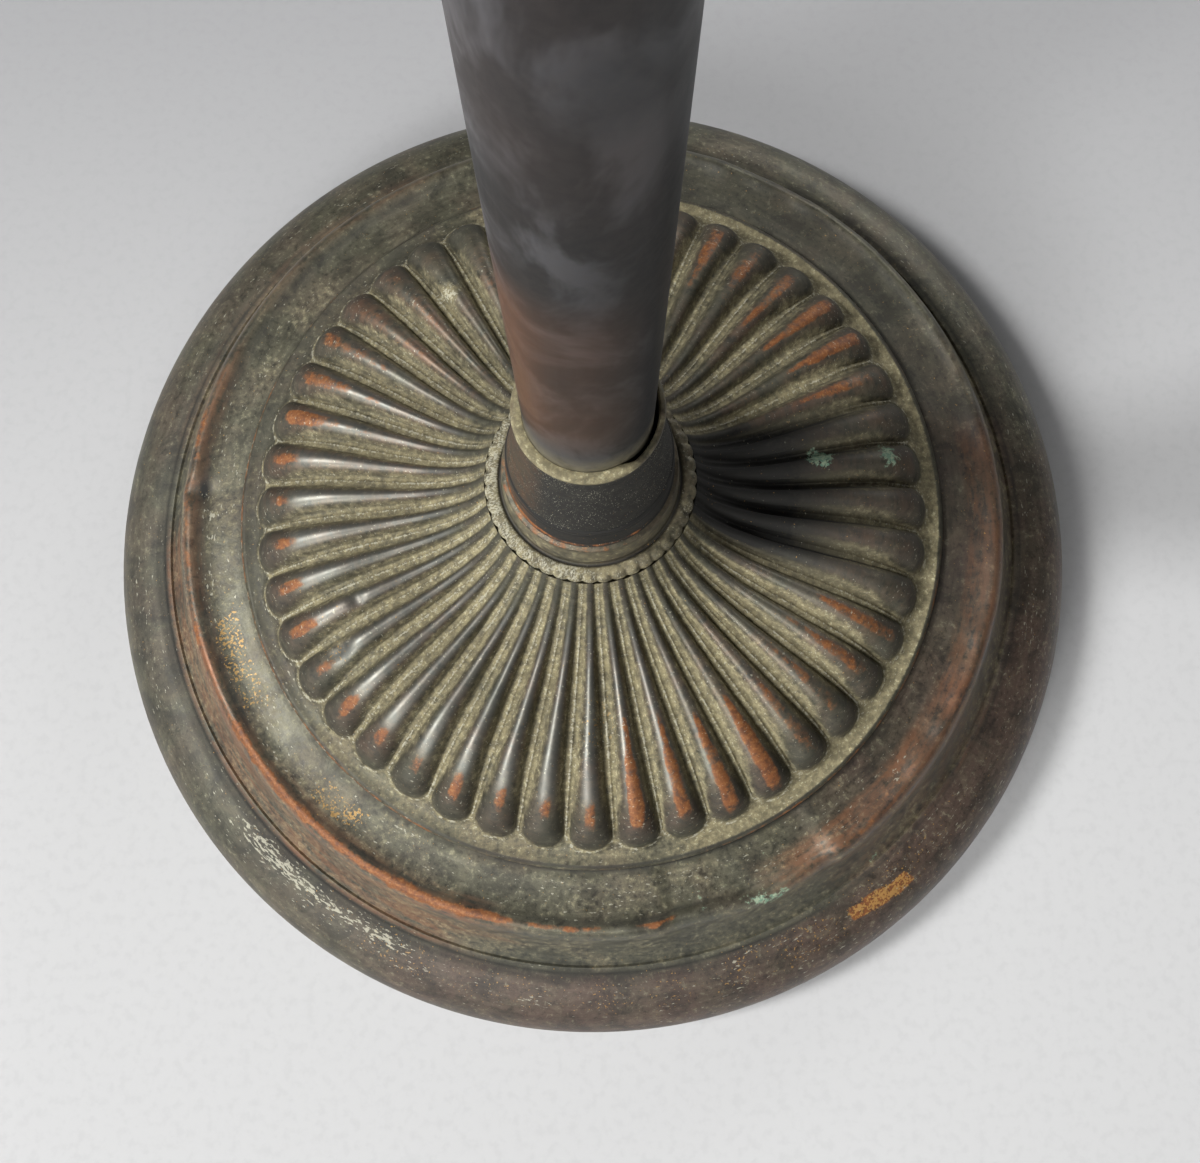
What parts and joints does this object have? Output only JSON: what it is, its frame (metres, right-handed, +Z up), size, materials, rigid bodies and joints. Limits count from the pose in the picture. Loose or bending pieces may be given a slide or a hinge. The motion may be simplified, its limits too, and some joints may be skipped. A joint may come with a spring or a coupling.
{
  "type": "torchiere floor lamp",
  "caption": "Uplight floor lamp: weighted round base with a gadrooned disc, straight tubular pole, turn switch and flared metal bowl.",
  "frame": {"origin": "centre of the footprint on the floor, on the pole's axis", "axes": "+Z up along the pole, -Y towards the front, where the turn switch points, +X to the right"},
  "size_m": [0.4143, 0.4144, 1.7242],
  "materials": {
    "base_patina": "dark bronze patina with worn copper edges",
    "turned_bronze": "dark bronze, satin",
    "pole_bronze": "dark bronze, matt",
    "bowl_bronze": "dark bronze outside, white enamel inside",
    "weight_iron": "rough cast",
    "pad_felt": "green felt",
    "hardware_steel": "plated, dull",
    "bush_brass": "machined",
    "bushing_black": "moulded",
    "switch_brown": "moulded phenolic",
    "socket_brass": "spun, lacquered",
    "liner_fibre": "vulcanised fibre",
    "socket_porcelain": "unglazed white porcelain",
    "bulb_glass": "frosted",
    "bulb_metal": "rolled thread",
    "bulb_black": "black vitrite",
    "bulb_solder": "tinned",
    "filament_wire": "tungsten wire"
  },
  "bodies": {
    "lamp": {"base_shell": "base_patina", "fluted_disc": "base_patina", "neck_ring": "base_patina", "pole_collar": "turned_bronze", "base_weight": "weight_iron", "felt_pad": "pad_felt", "base_washer": "hardware_steel", "base_nut": "hardware_steel", "base_pipe": "hardware_steel", "cord_bushing": "bushing_black", "lower_pole_bush": "bush_brass", "lower_pole": "pole_bronze", "joint_ring": "turned_bronze", "joint_bushes": "bush_brass", "joint_nipple": "hardware_steel", "upper_pole": "pole_bronze", "upper_pole_bush": "bush_brass", "top_collar": "turned_bronze", "head_pipe": "hardware_steel", "switch_cup": "turned_bronze", "switch_body": "switch_brown", "switch_ring_nut": "bush_brass", "bowl_fitter": "turned_bronze", "bowl": "bowl_bronze", "bowl_washer": "hardware_steel", "bowl_nut": "hardware_steel", "socket_cap": "socket_brass", "socket_shell": "socket_brass", "socket_liner": "liner_fibre", "socket_body": "socket_porcelain", "socket_screws": "bush_brass", "socket_screw_shell": "socket_brass", "socket_contact": "socket_brass"},
    "switch": {"switch_stem": "bush_brass", "switch_knob": "switch_brown"},
    "bulb_tip": {"bulb_tip_contact": "bulb_solder", "bulb_insulator": "bulb_black"},
    "bulb": {"bulb_cap": "bulb_metal", "bulb_glass": "bulb_glass", "bulb_stem": "bulb_glass", "bulb_filament": "filament_wire"}
  },
  "joints": [
    {"name": "switch_turn", "type": "hinge", "parent": "lamp", "child": "switch", "pos_m": [0, -0.04, 1.522], "axis": [0, -1, 0], "continuous": true},
    {"name": "bulb_lift", "type": "slide", "parent": "lamp", "child": "bulb_tip", "axis": [0, 0, 1], "range_m": [0, 0.0182]},
    {"name": "bulb_turn", "type": "hinge", "parent": "bulb_tip", "child": "bulb", "pos_m": [0, 0, 1.63], "axis": [0, 0, 1], "range_deg": [0, 1800]}
  ],
  "couplings": [
    {"joint": "bulb_lift", "follows": "bulb_turn", "m_per_rad": 0.000577}
  ]
}
